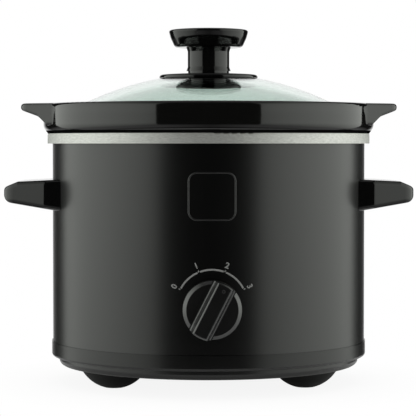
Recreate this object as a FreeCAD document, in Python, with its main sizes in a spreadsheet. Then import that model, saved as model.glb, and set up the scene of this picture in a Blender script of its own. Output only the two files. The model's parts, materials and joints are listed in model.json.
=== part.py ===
import FreeCAD, Part
import math
import operator
import os
import types

import Sketcher

# Slow cooker of the 1.5 quart class, in millimetres.
# The origin is on the pot's axis, on the plane that the feet stand on. +Z is up and the dial faces -Y.

# Driving dimensions, by piece
DRIVING = [
    # Feet
    ("foot_height", 11.4),
    ("foot_ball_radius", 23.4),
    ("foot_rest_radius", 6.0),
    ("foot_inset", 31.0),
    ("foot_stem_radius", 3.0),
    ("foot_barb_radius", 4.2),
    ("foot_barb_height", 2.0),
    # Base tray
    ("tray_wall", 2.5),
    ("tier_height", 5.9),
    ("tier_inset", 4.0),
    ("tier_round", 3.5),
    ("band_height", 9.5),
    ("band_overhang", 0.7),
    ("band_round", 1.7),
    ("upstand_height", 6.0),
    ("upstand_wall", 2.0),
    ("upstand_clearance", 0.1),
    ("recess_radius", 8.0),
    ("recess_depth", 5.0),
    # Outer shell
    ("shell_radius", 100.0),
    ("shell_wall", 0.6),
    ("shell_height", 131.6),
    ("panel_width", 100.0),
    ("panel_clearance", 0.1),
    # Heating liner
    ("liner_sheet", 0.8),
    ("liner_gap", 8.6),
    ("liner_round", 6.0),
    ("flange_skirt_gap", 2.4),
    ("flange_skirt_height", 6.6),
    ("flange_round", 1.5),
    # Tie stud, its nuts and the heat shield
    ("stud_radius", 2.0),
    ("stud_end_gap", 0.4),
    ("collar_radius", 5.0),
    ("collar_height", 4.0),
    ("weld_plate_radius", 10.0),
    ("weld_plate_thickness", 1.5),
    ("nut_flats", 7.0),
    ("nut_height", 3.2),
    ("washer_radius", 6.0),
    ("washer_thickness", 1.0),
    ("bolt_clearance", 0.3),
    ("thread_clearance", 0.05),
    ("shield_thickness", 0.5),
    ("shield_edge_gap", 5.4),
    ("shield_clearance", 1.9),
    # Heater band and its clamp
    ("heater_thickness", 1.6),
    ("heater_height", 40.0),
    ("heater_above_floor", 10.0),
    ("heater_clearance", 0.2),
    ("heater_slot", 8.0),
    ("lug_thickness", 1.5),
    ("lug_height", 12.0),
    ("clamp_clearance", 0.4),
    ("clamp_screw_radius", 1.5),
    ("clamp_head_radius", 2.8),
    ("clamp_head_height", 2.0),
    ("clamp_nut_flats", 5.5),
    ("clamp_nut_height", 2.4),
    # Rotary switch
    ("dial_above_base", 27.7),
    ("switch_width", 28.0),
    ("switch_depth", 20.0),
    ("switch_height", 22.0),
    ("switch_wall", 2.0),
    ("switch_setback", 2.2),
    ("bushing_radius", 4.5),
    ("bushing_proud", 1.2),
    ("switch_nut_flats", 13.0),
    ("switch_nut_height", 3.0),
    ("shaft_radius", 3.0),
    ("shaft_flat_depth", 0.8),
    ("running_clearance", 0.05),
    ("rotor_radius", 7.0),
    ("rotor_thickness", 6.0),
    ("blade_width", 4.8),
    ("blade_thickness", 0.8),
    ("blade_length", 8.0),
    ("blade_spread", 14.0),
    ("blade_rise", 8.0),
    # Control knob
    ("dial_radius", 17.5),
    ("dial_gap", 0.8),
    ("dial_disc_height", 8.0),
    ("dial_bevel", 2.1),
    ("dial_edge_round", 0.6),
    ("dial_hollow_clearance", 1.0),
    ("dial_hollow_gap", 0.6),
    ("dial_rest_angle", 26.8),
    ("grip_height", 8.7),
    ("grip_base_width", 12.4),
    ("grip_top_width", 9.4),
    ("grip_edge_round", 1.5),
    ("grip_foot_round", 1.4),
    ("shaft_end_cover", 4.0),
    # Thermal fuse
    ("fuse_radius", 2.0),
    ("fuse_length", 12.0),
    ("fuse_setback", 38.0),
    ("clip_wall", 1.2),
    ("clip_width", 5.0),
    # Terminal block
    ("block_length", 32.0),
    ("block_depth", 14.0),
    ("block_height", 12.0),
    ("block_pitch", 10.0),
    ("block_gap", 2.0),
    ("terminal_screw_radius", 1.6),
    ("terminal_screw_length", 5.0),
    # Cord gland
    ("gland_clearance", 2.0),
    ("gland_bore_radius", 3.5),
    ("gland_thread_radius", 6.4),
    ("gland_thread_length", 12.0),
    ("gland_flange_radius", 9.5),
    ("gland_flange_thickness", 3.0),
    ("gland_nose_radius", 5.6),
    ("gland_nose_length", 16.5),
    ("gland_nut_flats", 17.0),
    ("gland_nut_height", 4.0),
    # Internal leads
    ("lead_radius", 1.2),
    ("lead_clearance", 0.6),
    ("lead_rise", 9.0),
    ("lead_run", 16.0),
    # Side handles
    ("handle_below_skirt", 22.4),
    ("handle_reach", 29.6),
    ("handle_gap", 0.1),
    ("handle_root_height", 20.1),
    ("handle_root_width", 73.0),
    ("handle_tip_width", 54.0),
    ("handle_tip_height", 9.1),
    ("handle_tip_drop", 5.2),
    ("handle_shoulder_drop", 1.4),
    ("handle_shoulder_length", 9.3),
    ("handle_knee_reach", 3.0),
    ("handle_knee_draft", 0.8),
    ("handle_knee_round", 10.0),
    ("handle_plan_round", 9.0),
    ("handle_tip_round", 5.5),
    ("handle_edge_round", 3.0),
    ("handle_recess_start", 13.0),
    ("handle_recess_length", 11.5),
    ("handle_recess_width", 44.0),
    ("handle_roof", 5.0),
    ("handle_screw_spacing", 36.0),
    ("handle_screw_radius", 1.9),
    ("handle_screw_length", 12.0),
    ("handle_screw_head_radius", 3.5),
    ("handle_screw_head_height", 2.2),
    # Crock
    ("crock_gap", 2.0),
    ("crock_floor_gap", 2.2),
    ("crock_wall", 6.5),
    ("crock_floor", 8.0),
    ("crock_taper", 2.5),
    ("crock_round", 14.0),
    ("rim_height", 18.7),
    ("rim_overhang", 3.1),
    ("rim_draft", 0.6),
    ("rim_lower_round", 5.5),
    ("rim_top_round", 2.5),
    ("seat_depth", 13.1),
    ("seat_width", 8.6),
    ("seat_inset", 8.7),
    ("seat_slope_height", 4.0),
    ("ear_reach", 12.5),
    ("ear_width", 88.0),
    ("ear_tip_width", 50.0),
    ("ear_plan_round", 9.0),
    ("ear_tip_height", 4.2),
    ("ear_root_height", 8.4),
    ("ear_root_gap", 0.9),
    ("ear_root_round", 5.0),
    ("ear_foot_height", 14.0),
    ("ear_foot_inset", 5.0),
    ("ear_edge_round", 2.2),
    ("ear_root_overlap", 4.0),
    # Lid
    ("lid_clearance", 1.4),
    ("glass_radius", 178.2),
    ("glass_thickness", 4.0),
    ("glass_edge_flat", 0.8),
    ("glass_hole_radius", 4.0),
    ("gasket_thickness", 0.8),
    ("gasket_radius", 12.0),
    ("gasket_clearance", 0.3),
    ("skirt_gap", 0.15),
    ("skirt_radius", 31.6),
    ("skirt_edge", 2.05),
    ("skirt_edge_round", 1.6),
    ("skirt_cover", 1.0),
    ("hub_radius", 13.2),
    ("hub_height", 1.2),
    ("neck_radius", 13.4),
    ("neck_flare", 0.9),
    ("neck_flare_height", 2.6),
    ("neck_height", 15.1),
    ("cap_lower_radius", 21.6),
    ("cap_flank_radius", 24.4),
    ("cap_flank_height", 6.0),
    ("cap_flank_round", 12.0),
    ("cap_radius", 25.75),
    ("cap_height", 11.0),
    ("cap_edge_round", 1.3),
    ("crown_inset", 2.35),
    ("crown_step", 0.35),
    ("cap_crown", 1.5),
    ("cap_round", 2.8),
    ("retainer_top_radius", 13.0),
    ("retainer_radius", 21.2),
    ("retainer_height", 2.7),
    ("retainer_flank_radius", 18.6),
    ("retainer_flank_height", 1.5),
    ("retainer_flank_round", 3.0),
    ("lid_screw_radius", 2.0),
    ("lid_screw_head_radius", 4.8),
    ("lid_screw_head_height", 1.4),
    ("lid_screw_grip", 12.0),
]

document = FreeCAD.newDocument("slow_cooker")
sheet = document.addObject("Spreadsheet::Sheet", "dims")
for row, (alias, number) in enumerate(DRIVING, start=1):
    sheet.set(f"A{row}", alias)
    sheet.set(f"B{row}", str(number))
    sheet.setAlias(f"B{row}", alias)
document.recompute()


class Size:
    """A number together with the spreadsheet formula that gives it."""

    def __init__(self, value, formula):
        self.value = value
        self.formula = formula

    def __add__(self, other):
        return combine(self, "+", other)

    def __sub__(self, other):
        return combine(self, "-", other)

    def __mul__(self, other):
        return combine(self, "*", other)

    def __truediv__(self, other):
        return combine(self, "/", other)

    def __neg__(self):
        return combine(0, "-", self)


OPERATIONS = {"+": operator.add, "-": operator.sub, "*": operator.mul, "/": operator.truediv}


def size(thing):
    """Give a plain number the same form as a spreadsheet size."""
    if isinstance(thing, Size):
        return thing
    return Size(float(thing), repr(float(thing)))


def combine(left, sign, right):
    """Join two sizes by an arithmetic sign, in value and in formula."""
    left = size(left)
    right = size(right)
    value = OPERATIONS[sign](left.value, right.value)
    return Size(value, f"({left.formula} {sign} {right.formula})")


def root(thing):
    """Square root of a size."""
    return Size(math.sqrt(thing.value), f"sqrt({thing.formula})")


def leg(hypotenuse, side):
    """The other short side of a right triangle."""
    return root(hypotenuse * hypotenuse - side * side)


d = types.SimpleNamespace(**{alias: Size(sheet.get(alias), f"dims.{alias}") for alias, _ in DRIVING})

# Heights and radii that several pieces share
tray_bottom = d.foot_height
tray_floor = tray_bottom + d.tray_wall
band_bottom = tray_bottom + d.tier_height
shell_bottom = band_bottom + d.band_height
shell_top = shell_bottom + d.shell_height
shell_inside = d.shell_radius - d.shell_wall
recess_ceiling = tray_bottom + d.recess_depth
dial_height = shell_bottom + d.dial_above_base
gland_height = shell_bottom + d.upstand_height + d.gland_nut_flats / 2 + d.gland_clearance
shield_bottom = dial_height + d.switch_height / 2 + d.shield_clearance
shield_top = shield_bottom + d.shield_thickness
collar_top = shield_top + d.collar_height
well_bottom = collar_top + d.weld_plate_thickness
well_floor = well_bottom + d.liner_sheet
flange_top = shell_top + d.liner_sheet
well_outside = shell_inside - d.liner_gap
well_inside = well_outside - d.liner_sheet
skirt_inside = d.shell_radius + d.flange_skirt_gap
skirt_outside = skirt_inside + d.liner_sheet
skirt_bottom = flange_top - d.flange_skirt_height
heater_inside = well_outside + d.heater_clearance
heater_outside = heater_inside + d.heater_thickness
heater_bottom = well_bottom + d.heater_above_floor
clamp_height = heater_bottom + d.heater_height / 2
switch_front = shell_inside - d.switch_setback
switch_rear = switch_front - d.switch_depth - d.switch_wall
crock_radius = well_inside - d.crock_gap
crock_bottom = well_floor + d.crock_floor_gap
rim_radius = skirt_outside + d.rim_overhang
rim_top = flange_top + d.rim_height
seat_height = rim_top - d.seat_depth
seat_radius = rim_radius - d.seat_inset
lid_radius = seat_radius - d.lid_clearance
glass_inner_radius = d.glass_radius - d.glass_thickness
dome_center = seat_height - leg(glass_inner_radius, lid_radius - d.glass_edge_flat)
gasket_ball_radius = d.glass_radius + d.gasket_thickness
skirt_ball_radius = d.glass_radius + d.skirt_gap
foot_circle_radius = d.shell_radius - d.foot_inset
block_center = foot_circle_radius - d.foot_barb_radius - d.block_gap - d.block_depth / 2

# Sketch geometry numbers that FreeCAD gives the axes and the origin
ACROSS_INDEX = -1
UPRIGHT_INDEX = -2
ORIGIN_INDEX = -1
START_INDEX = 1
END_INDEX = 2
CENTER_INDEX = 3

# Ways that a piece drawn upright can face
UP = FreeCAD.Rotation()
FRONT = FreeCAD.Rotation(FreeCAD.Vector(1, 0, 0), 90)
BACK = FreeCAD.Rotation(FreeCAD.Vector(1, 0, 0), -90)
RIGHT = FreeCAD.Rotation(FreeCAD.Vector(0, 1, 0), 90)
LEFT = FreeCAD.Rotation(FreeCAD.Vector(0, 1, 0), -90)
TURNED_BACK = FreeCAD.Rotation(FreeCAD.Vector(0, 0, 1), 90)

# An edge is rounded where its faces turn by more than this, and a face counts as upright below this slope
SHARP_ANGLE = math.radians(35)
UPRIGHT_SHARE = 0.02

# How much of its shorter run a lead's bend takes, and how closely a lead's volume must agree
BEND_SHARE = 0.45
TUBE_VOLUME_SHARE = 0.005

pieces = []


def keep(feature, label):
    """Name a finished piece and list it for writing."""
    feature.Label = label
    pieces.append(feature)
    return feature


def new_body(label, member=False):
    """Start a body. A member of a group is written with its group."""
    body = document.addObject("PartDesign::Body", label)
    return body if member else keep(body, label)


def group(label, members):
    """Identical pieces that share one name stay separate solids."""
    feature = document.addObject("Part::Compound", label)
    feature.Links = members
    return keep(feature, label)


def place(feature, across=0, depth=0, height=0, facing=UP):
    """Turn a piece and move it to sizes from the spreadsheet."""
    feature.Placement = FreeCAD.Placement(FreeCAD.Vector(0, 0, 0), facing)
    for axis, distance in (("x", across), ("y", depth), ("z", height)):
        feature.setExpression(f"Placement.Base.{axis}", size(distance).formula)
    return feature


def new_sketch(body, plane, level=0):
    """Start a sketch on one of the body's own planes, or at a level above it."""
    sketch = body.newObject("Sketcher::SketchObject", "outline")
    support = next(feature for feature in body.Origin.OriginFeatures if feature.Role == plane)
    sketch.AttachmentSupport = [(support, "")]
    sketch.MapMode = "FlatFace"
    sketch.setExpression("AttachmentOffset.Base.z", size(level).formula)
    return sketch


def bind(sketch, constraint, value):
    """Add a constraint whose value follows a size."""
    index = sketch.addConstraint(constraint)
    sketch.setExpression(f"Constraints[{index}]", value.formula)


def locate(sketch, geometry, point, across, up):
    """Hold a sketch point at its two coordinates."""
    for kind, axis, distance in (("DistanceX", UPRIGHT_INDEX, across), ("DistanceY", ACROSS_INDEX, up)):
        distance = size(distance)
        if distance.value == 0:
            sketch.addConstraint(Sketcher.Constraint("PointOnObject", geometry, point, axis))
        else:
            held = Sketcher.Constraint(kind, ORIGIN_INDEX, START_INDEX, geometry, point, distance.value)
            bind(sketch, held, distance)


class Corner:
    """A corner of an outline. A domed corner starts a side that is an arc about the upright axis."""

    def __init__(self, across, up, rounding=None, domed=False):
        self.across = size(across)
        self.up = size(up)
        self.rounding = None if rounding is None else size(rounding)
        self.domed = domed
        self.point = FreeCAD.Vector(self.across.value, self.up.value, 0)


def arc_between(center, radius, first, last):
    """An arc that runs anticlockwise from one point to the other."""
    circle = Part.Circle(center, FreeCAD.Vector(0, 0, 1), radius)
    return Part.ArcOfCircle(circle, circle.parameter(first), circle.parameter(last))


def dome_side(corner, following):
    """The arc about the upright axis between two corners, and which of its ends comes first."""
    first = corner.point
    last = following.point
    rise = (last.x ** 2 + last.y ** 2 - first.x ** 2 - first.y ** 2) / (2 * (last.y - first.y))
    center = FreeCAD.Vector(0, rise, 0)
    turn = (first - center).cross(last - center).z
    if turn > 0:
        return arc_between(center, (first - center).Length, first, last), (START_INDEX, END_INDEX)
    return arc_between(center, (first - center).Length, last, first), (END_INDEX, START_INDEX)


def round_corner(before, corner, after):
    """The rounding arc of a corner: its tangent points, the arc and which of its ends comes first."""
    incoming = (corner.point - before.point).normalize()
    outgoing = (after.point - corner.point).normalize()
    radius = corner.rounding.value
    reach = radius * math.tan(incoming.getAngle(outgoing) / 2)
    first = corner.point - incoming * reach
    last = corner.point + outgoing * reach
    side = FreeCAD.Vector(-incoming.y, incoming.x, 0)
    if incoming.cross(outgoing).z > 0:
        arc = arc_between(first + side * radius, radius, first, last)
        return first, last, arc, (START_INDEX, END_INDEX)
    arc = arc_between(first - side * radius, radius, last, first)
    return first, last, arc, (END_INDEX, START_INDEX)


def draw_outline(sketch, corners):
    """Draw a closed outline, with every corner and rounding held by the spreadsheet."""
    count = len(corners)
    rounds = {}
    starts = [corner.point for corner in corners]
    ends = [corner.point for corner in corners[1:] + corners[:1]]
    for index, corner in enumerate(corners):
        if corner.rounding is not None:
            rounds[index] = round_corner(corners[index - 1], corner, corners[(index + 1) % count])
            ends[index - 1], starts[index] = rounds[index][:2]
    sides = []
    for index, corner in enumerate(corners):
        if corner.domed:
            arc, points = dome_side(corner, corners[(index + 1) % count])
            side = sketch.addGeometry(arc)
            sketch.addConstraint(Sketcher.Constraint("PointOnObject", side, CENTER_INDEX, UPRIGHT_INDEX))
        else:
            side = sketch.addGeometry(Part.LineSegment(starts[index], ends[index]))
            points = (START_INDEX, END_INDEX)
        sides.append((side, points))
    for index, corner in enumerate(corners):
        before, before_points = sides[index - 1]
        after, after_points = sides[index]
        if corner.rounding is None:
            met = Sketcher.Constraint("Coincident", before, before_points[1], after, after_points[0])
            sketch.addConstraint(met)
            locate(sketch, after, after_points[0], corner.across, corner.up)
            continue
        arc = sketch.addGeometry(rounds[index][2])
        first, last = rounds[index][3]
        sketch.addConstraint(Sketcher.Constraint("Tangent", before, before_points[1], arc, first))
        sketch.addConstraint(Sketcher.Constraint("Tangent", arc, last, after, after_points[0]))
        bind(sketch, Sketcher.Constraint("Radius", arc, corner.rounding.value), corner.rounding)
        tip = sketch.addGeometry(Part.Point(corner.point), True)
        sketch.addConstraint(Sketcher.Constraint("PointOnObject", tip, START_INDEX, before))
        sketch.addConstraint(Sketcher.Constraint("PointOnObject", tip, START_INDEX, after))
        locate(sketch, tip, START_INDEX, corner.across, corner.up)
    return sketch


def draw_circle(sketch, across, up, radius):
    radius = size(radius)
    middle = FreeCAD.Vector(size(across).value, size(up).value, 0)
    circle = sketch.addGeometry(Part.Circle(middle, FreeCAD.Vector(0, 0, 1), radius.value))
    bind(sketch, Sketcher.Constraint("Radius", circle, radius.value), radius)
    locate(sketch, circle, CENTER_INDEX, across, up)
    return sketch


def rectangle(left, bottom, right, top):
    return [Corner(left, bottom), Corner(right, bottom), Corner(right, top), Corner(left, top)]


def centered_rectangle(width, height):
    return rectangle(-width / 2, -height / 2, width / 2, height / 2)


def hexagon(flats):
    """A nut's outline from its width across flats."""
    half = flats / 2
    point = flats / math.sqrt(3)
    near = point / 2
    return [
        Corner(point, 0), Corner(near, half), Corner(-near, half),
        Corner(-point, 0), Corner(-near, -half), Corner(near, -half),
    ]


def revolve(body, corners):
    """Turn an outline about the upright axis."""
    feature = body.newObject("PartDesign::Revolution", "revolution")
    sketch = draw_outline(new_sketch(body, "XZ_Plane"), corners)
    feature.Profile = sketch
    feature.ReferenceAxis = (sketch, ["V_Axis"])
    body.Tip = feature
    return feature


def groove(body, corners):
    """Take a turned outline off a body."""
    feature = body.newObject("PartDesign::Groove", "groove")
    sketch = draw_outline(new_sketch(body, "XZ_Plane"), corners)
    feature.Profile = sketch
    feature.ReferenceAxis = (sketch, ["V_Axis"])
    body.Tip = feature
    return feature


def pad(body, sketch, length, reverse=False, midplane=False):
    feature = body.newObject("PartDesign::Pad", "pad")
    feature.Profile = sketch
    feature.setExpression("Length", size(length).formula)
    feature.Reversed = reverse
    feature.Midplane = midplane
    body.Tip = feature
    return feature


def pocket(body, sketch, length, reverse=False, midplane=False):
    feature = body.newObject("PartDesign::Pocket", "pocket")
    feature.Profile = sketch
    feature.setExpression("Length", size(length).formula)
    feature.Reversed = reverse
    feature.Midplane = midplane
    body.Tip = feature
    return feature


def is_rim_edge(shape, edge, beyond):
    """Whether an edge lies outside a radius about the pot's axis, between an upright face and another."""
    middle = edge.valueAt((edge.FirstParameter + edge.LastParameter) / 2)
    if math.hypot(middle.x, middle.y) <= beyond:
        return False
    normals = []
    for face in shape.ancestorsOfType(edge, Part.Face):
        normals.append(face.normalAt(*face.Surface.parameter(middle)))
    turn = normals[0].getAngle(normals[1])
    upright = min(abs(normal.z) for normal in normals)
    return turn > SHARP_ANGLE and upright < UPRIGHT_SHARE


def round_rim(body, beyond, radius):
    """Round the sharp edges around the upright sides of a handle or an ear."""
    document.recompute()
    base = body.Tip
    names = [
        f"Edge{number}" for number, edge in enumerate(base.Shape.Edges, start=1)
        if is_rim_edge(base.Shape, edge, beyond.value)
    ]
    feature = body.newObject("PartDesign::Fillet", "rounding")
    feature.Base = (base, names)
    feature.setExpression("Radius", radius.formula)
    body.Tip = feature


def mirrored(name, source):
    """The same piece on the other side of the pot."""
    feature = document.addObject("Part::Mirroring", name)
    feature.Source = source
    feature.Normal = FreeCAD.Vector(1, 0, 0)
    return feature


def turned(label, corners, member=False, **where):
    """A piece that is one revolved outline."""
    body = new_body(label, member)
    revolve(body, corners)
    return place(body, **where)


def nut(label, flats, thickness, bore, **where):
    """A hexagonal nut standing on its own origin."""
    body = new_body(label)
    sketch = new_sketch(body, "XY_Plane")
    draw_outline(sketch, hexagon(flats))
    draw_circle(sketch, 0, 0, bore)
    pad(body, sketch, thickness)
    return place(body, **where)


def screw_outline(shank_radius, shank_length, head_radius, head_height):
    """A pan-head screw along +Z, with the underside of its head at the origin."""
    return [
        Corner(0, -head_height), Corner(head_radius, -head_height, head_height / 2),
        Corner(head_radius, 0), Corner(shank_radius, 0), Corner(shank_radius, shank_length),
        Corner(0, shank_length),
    ]


def base_tray():
    body = new_body("base_tray")
    tier = d.shell_radius - d.tier_inset
    band = d.shell_radius + d.band_overhang
    upstand = shell_inside - d.upstand_clearance
    upstand_inner = upstand - d.upstand_wall
    hole = d.stud_radius + d.bolt_clearance
    revolve(body, [
        Corner(hole, recess_ceiling), Corner(d.recess_radius, recess_ceiling),
        Corner(d.recess_radius, tray_bottom), Corner(tier, tray_bottom, d.tier_round),
        Corner(tier, band_bottom), Corner(band, band_bottom, d.band_round),
        Corner(band, shell_bottom), Corner(upstand, shell_bottom),
        Corner(upstand, shell_bottom + d.upstand_height),
        Corner(upstand_inner, shell_bottom + d.upstand_height),
        Corner(upstand_inner, band_bottom + d.tray_wall),
        Corner(tier - d.tray_wall, band_bottom + d.tray_wall), Corner(tier - d.tray_wall, tray_floor),
        Corner(d.recess_radius + d.tray_wall, tray_floor),
        Corner(d.recess_radius + d.tray_wall, recess_ceiling + d.tray_wall),
        Corner(hole, recess_ceiling + d.tray_wall),
    ])
    holes = new_sketch(body, "XY_Plane", tray_floor)
    for across, depth in foot_places():
        draw_circle(holes, across, depth, d.foot_stem_radius + d.thread_clearance)
    pocket(body, holes, d.tray_wall)


def foot_places():
    """Three feet a third of a turn apart, with one at the back."""
    half_chord = foot_circle_radius * math.sqrt(3) / 2
    forward = -foot_circle_radius / 2
    return [(-half_chord, forward), (half_chord, forward), (size(0), foot_circle_radius)]


def feet():
    ball_center = leg(d.foot_ball_radius, d.foot_rest_radius)
    top_radius = leg(d.foot_ball_radius, ball_center - d.foot_height)
    for label, (across, depth) in zip(("foot_front_left", "foot_front_right", "foot_back"), foot_places()):
        turned(label, [
            Corner(0, 0), Corner(d.foot_rest_radius, 0, domed=True), Corner(top_radius, tray_bottom),
            Corner(d.foot_stem_radius, tray_bottom), Corner(d.foot_stem_radius, tray_floor),
            Corner(d.foot_barb_radius, tray_floor),
            Corner(d.foot_stem_radius, tray_floor + d.foot_barb_height),
            Corner(0, tray_floor + d.foot_barb_height),
        ], across=across, depth=depth)


def outer_shell():
    body = new_body("outer_shell")
    revolve(body, rectangle(shell_inside, shell_bottom, d.shell_radius, shell_top))
    reach = d.shell_radius + d.shell_wall
    front = new_sketch(body, "XZ_Plane")
    draw_circle(front, 0, dial_height, d.bushing_radius + d.bolt_clearance)
    pocket(body, front, reach, reverse=True)
    sides = new_sketch(body, "YZ_Plane")
    for spread in (-d.handle_screw_spacing / 2, d.handle_screw_spacing / 2):
        draw_circle(sides, spread, handle_middle, d.handle_screw_radius + d.bolt_clearance)
    pocket(body, sides, reach * 2, midplane=True)
    gap = d.panel_width / 2 + d.panel_clearance
    back = draw_outline(new_sketch(body, "XZ_Plane"), rectangle(-gap, shell_bottom, gap, shell_top))
    pocket(body, back, reach)


def rear_panel():
    """The back of the drum, with the gland. It is drawn on the right and turned to the back."""
    body = new_body("rear_panel")
    half = d.panel_width / 2
    inner = leg(shell_inside, half)
    outer = leg(d.shell_radius, half)
    plan = new_sketch(body, "XY_Plane", shell_bottom)
    draw_outline(plan, [
        Corner(inner, -half), Corner(outer, -half, domed=True),
        Corner(outer, half), Corner(inner, half, domed=True),
    ])
    pad(body, plan, d.shell_height)
    hole = new_sketch(body, "YZ_Plane")
    draw_circle(hole, 0, gland_height, d.gland_thread_radius + d.bolt_clearance)
    pocket(body, hole, d.shell_radius + d.shell_wall, reverse=True)
    place(body, facing=TURNED_BACK)


def heating_liner():
    turned("heating_liner", [
        Corner(0, well_bottom), Corner(well_outside, well_bottom, d.liner_round + d.liner_sheet),
        Corner(well_outside, shell_top), Corner(skirt_inside, shell_top),
        Corner(skirt_inside, skirt_bottom), Corner(skirt_outside, skirt_bottom),
        Corner(skirt_outside, flange_top, d.flange_round),
        Corner(well_inside, flange_top, d.flange_round), Corner(well_inside, well_floor, d.liner_round),
        Corner(0, well_floor),
    ])


def tie_parts():
    """The stud welded under the well, which pulls the liner, shell and tray together."""
    stud_end = tray_bottom + d.stud_end_gap
    turned("tie_stud", [
        Corner(0, stud_end), Corner(d.stud_radius, stud_end), Corner(d.stud_radius, shield_top),
        Corner(d.collar_radius, shield_top), Corner(d.collar_radius, collar_top),
        Corner(d.weld_plate_radius, collar_top), Corner(d.weld_plate_radius, well_bottom),
        Corner(0, well_bottom),
    ])
    bore = d.stud_radius + d.thread_clearance
    washer_bottom = recess_ceiling - d.washer_thickness
    turned("tie_washer", rectangle(bore, washer_bottom, d.washer_radius, recess_ceiling))
    nut("tie_nut", d.nut_flats, d.nut_height, bore, height=washer_bottom - d.nut_height)
    nut("shield_nut", d.nut_flats, d.nut_height, bore, height=shield_bottom - d.nut_height)
    hole = d.stud_radius + d.bolt_clearance
    turned("heat_shield", rectangle(hole, shield_bottom, shell_inside - d.shield_edge_gap, shield_top))


def heater():
    """The wrap-around element: a band with a slot at the back, closed by a screw through two lugs."""
    body = new_body("heater_band")
    top = heater_bottom + d.heater_height
    revolve(body, rectangle(heater_inside, heater_bottom, heater_outside, top))
    slot = draw_outline(
        new_sketch(body, "XZ_Plane"),
        rectangle(-d.heater_slot / 2, heater_bottom, d.heater_slot / 2, top),
    )
    pocket(body, slot, heater_outside)
    lug_inner = leg(heater_inside, d.heater_slot / 2) + d.heater_thickness / 2
    lug_face = d.heater_slot / 2 + d.lug_thickness
    screw_depth = heater_outside + d.clamp_head_radius + d.clamp_clearance
    lug_outer = screw_depth + d.clamp_head_radius
    lugs = new_sketch(body, "XY_Plane", clamp_height - d.lug_height / 2)
    draw_outline(lugs, rectangle(d.heater_slot / 2, lug_inner, lug_face, lug_outer))
    draw_outline(lugs, rectangle(-lug_face, lug_inner, -d.heater_slot / 2, lug_outer))
    pad(body, lugs, d.lug_height)
    bores = new_sketch(body, "YZ_Plane")
    draw_circle(bores, screw_depth, clamp_height, d.clamp_screw_radius + d.thread_clearance)
    pocket(body, bores, lug_face * 2, midplane=True)
    shank = lug_face * 2 + d.clamp_nut_height
    turned(
        "clamp_screw",
        screw_outline(d.clamp_screw_radius, shank, d.clamp_head_radius, d.clamp_head_height),
        across=lug_face, depth=screw_depth, height=clamp_height, facing=LEFT,
    )
    nut(
        "clamp_nut", d.clamp_nut_flats, d.clamp_nut_height, d.clamp_screw_radius + d.thread_clearance,
        across=-lug_face, depth=screw_depth, height=clamp_height, facing=LEFT,
    )


def blade_places():
    """Four blades in two rows at the back of the switch."""
    return [
        (side * d.blade_spread / 2, level * d.blade_rise / 2)
        for side in (size(-1), size(1)) for level in (size(-1), size(1))
    ]


def rotary_switch():
    """Housing with a threaded bushing, its cover and blades, and the nut in front of the shell."""
    where = {"depth": -switch_front, "height": dial_height, "facing": FRONT}
    housing = new_body("switch_housing")
    face = new_sketch(housing, "XY_Plane")
    draw_outline(face, centered_rectangle(d.switch_width, d.switch_height))
    pad(housing, face, d.switch_depth, reverse=True)
    bushing_length = d.shell_radius + d.switch_nut_height + d.bushing_proud - switch_front
    pad(housing, draw_circle(new_sketch(housing, "XY_Plane"), 0, 0, d.bushing_radius), bushing_length)
    cavity = centered_rectangle(d.switch_width - d.switch_wall * 2, d.switch_height - d.switch_wall * 2)
    pocket(housing, draw_outline(new_sketch(housing, "XY_Plane", -d.switch_wall), cavity), d.switch_depth)
    bore = new_sketch(housing, "XY_Plane", bushing_length)
    draw_circle(bore, 0, 0, d.shaft_radius + d.running_clearance)
    pocket(housing, bore, bushing_length + d.switch_wall)
    place(housing, **where)
    cover = new_body("switch_cover")
    back = new_sketch(cover, "XY_Plane", -d.switch_depth)
    draw_outline(back, centered_rectangle(d.switch_width, d.switch_height))
    pad(cover, back, d.switch_wall, reverse=True)
    place(cover, **where)
    blades = []
    for across, up in blade_places():
        blade = new_body("switch_blade", member=True)
        outline = rectangle(
            across - d.blade_thickness / 2, up - d.blade_width / 2,
            across + d.blade_thickness / 2, up + d.blade_width / 2,
        )
        sketch = draw_outline(new_sketch(blade, "XY_Plane", -d.switch_depth - d.switch_wall), outline)
        pad(blade, sketch, d.blade_length, reverse=True)
        blades.append(place(blade, **where))
    group("switch_terminals", blades)
    nut(
        "switch_nut", d.switch_nut_flats, d.switch_nut_height, d.bushing_radius + d.thread_clearance,
        depth=-d.shell_radius, height=dial_height, facing=FRONT,
    )


def draw_d_shape(sketch, radius, chord):
    """A round with a flat, whose chord lies a given distance from the middle."""
    half = math.sqrt(radius.value ** 2 - chord.value ** 2)
    left = FreeCAD.Vector(-half, chord.value, 0)
    right = FreeCAD.Vector(half, chord.value, 0)
    arc = sketch.addGeometry(arc_between(FreeCAD.Vector(0, 0, 0), radius.value, left, right))
    flat = sketch.addGeometry(Part.LineSegment(right, left))
    sketch.addConstraint(Sketcher.Constraint("Coincident", arc, CENTER_INDEX, ORIGIN_INDEX, START_INDEX))
    sketch.addConstraint(Sketcher.Constraint("Coincident", arc, START_INDEX, flat, END_INDEX))
    sketch.addConstraint(Sketcher.Constraint("Coincident", arc, END_INDEX, flat, START_INDEX))
    sketch.addConstraint(Sketcher.Constraint("Horizontal", flat))
    bind(sketch, Sketcher.Constraint("Radius", arc, radius.value), radius)
    above = Sketcher.Constraint("DistanceY", ORIGIN_INDEX, START_INDEX, flat, START_INDEX, chord.value)
    bind(sketch, above, chord)
    return sketch


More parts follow.
